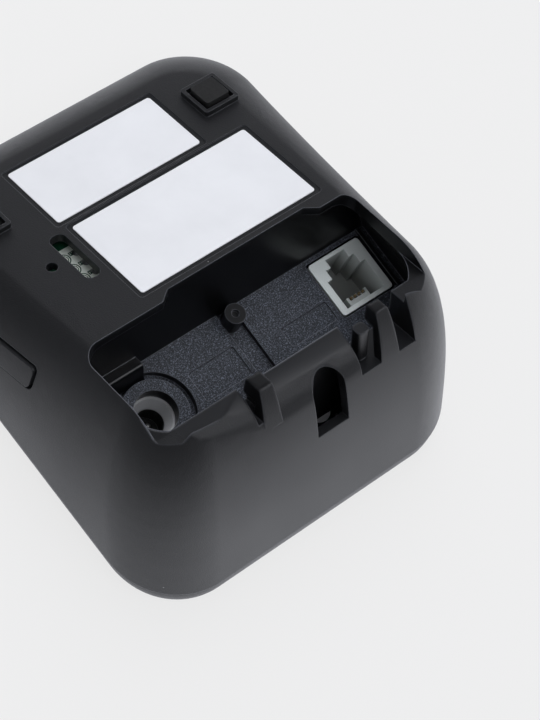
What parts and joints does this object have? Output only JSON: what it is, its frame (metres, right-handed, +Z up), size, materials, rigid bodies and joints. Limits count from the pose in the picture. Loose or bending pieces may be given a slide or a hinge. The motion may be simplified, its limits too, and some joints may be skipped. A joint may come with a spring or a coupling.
{
  "type": "cordless phone charging base",
  "caption": "Sloped charging base of a cordless phone with a cradle well, a sunken cord pocket with two sockets and a side button.",
  "frame": {"origin": "table plane under the rubber feet, midway across and midway front to rear", "axes": "+Z up, +Y towards the rear wall with the cord exits, +X towards the telephone line socket"},
  "size_m": [0.0878, 0.09, 0.0521],
  "materials": {
    "case_plastic": "fine moulded texture, near black",
    "cover_plastic": "satin, near black",
    "button_plastic": "satin, near black",
    "inner_plastic": "matt black",
    "jack_plastic": "light grey, satin",
    "light_plastic": "light grey, satin",
    "board": "green coated board",
    "board_metal": "plain tinned",
    "spring_metal": "bright nickel",
    "wire_metal": "bright wire",
    "pin_metal": "bright nickel",
    "label_film": "smooth off-white film",
    "rubber": "matt black",
    "chip_resin": "matt black",
    "can_sleeve": "bright can",
    "screw_steel": "zinc plated"
  },
  "bodies": {
    "base": {"lower_case": "case_plastic", "top_cover": "cover_plastic", "front_board": "board", "rear_board": "board", "line_jack": "jack_plastic", "line_jack_contacts": "wire_metal", "power_jack": "light_plastic", "power_jack_pin": "pin_metal", "tact_switch": "inner_plastic", "contact_holder": "inner_plastic", "serial_label": "label_film", "rating_label": "label_film", "foot_pad_left": "rubber", "foot_pad_right": "rubber", "radio_shield": "board_metal", "processor_chip": "chip_resin", "supply_capacitor": "can_sleeve", "line_relay": "inner_plastic", "board_screw_front_left": "screw_steel", "board_screw_rear_left": "screw_steel", "board_screw_front_right": "screw_steel", "board_screw_rear_right": "screw_steel", "socket_board_screw_left": "screw_steel", "socket_board_screw_right": "screw_steel"},
    "locator_button": {"locator_button": "button_plastic", "switch_plunger": "inner_plastic"},
    "charge_contact_left": {"charge_contact_left": "spring_metal"},
    "charge_contact_right": {"charge_contact_right": "spring_metal"}
  },
  "joints": [
    {"name": "button_press", "type": "slide", "parent": "base", "child": "locator_button", "axis": [1, 0, 0], "range_m": [0, 0.0008], "stiffness_N_per_m": 1500},
    {"name": "left_contact_press", "type": "slide", "parent": "base", "child": "charge_contact_left", "axis": [0, -0.2079, -0.9781], "range_m": [0, 0.0012], "stiffness_N_per_m": 400},
    {"name": "right_contact_press", "type": "slide", "parent": "base", "child": "charge_contact_right", "axis": [0, -0.2079, -0.9781], "range_m": [0, 0.0012], "stiffness_N_per_m": 400}
  ]
}
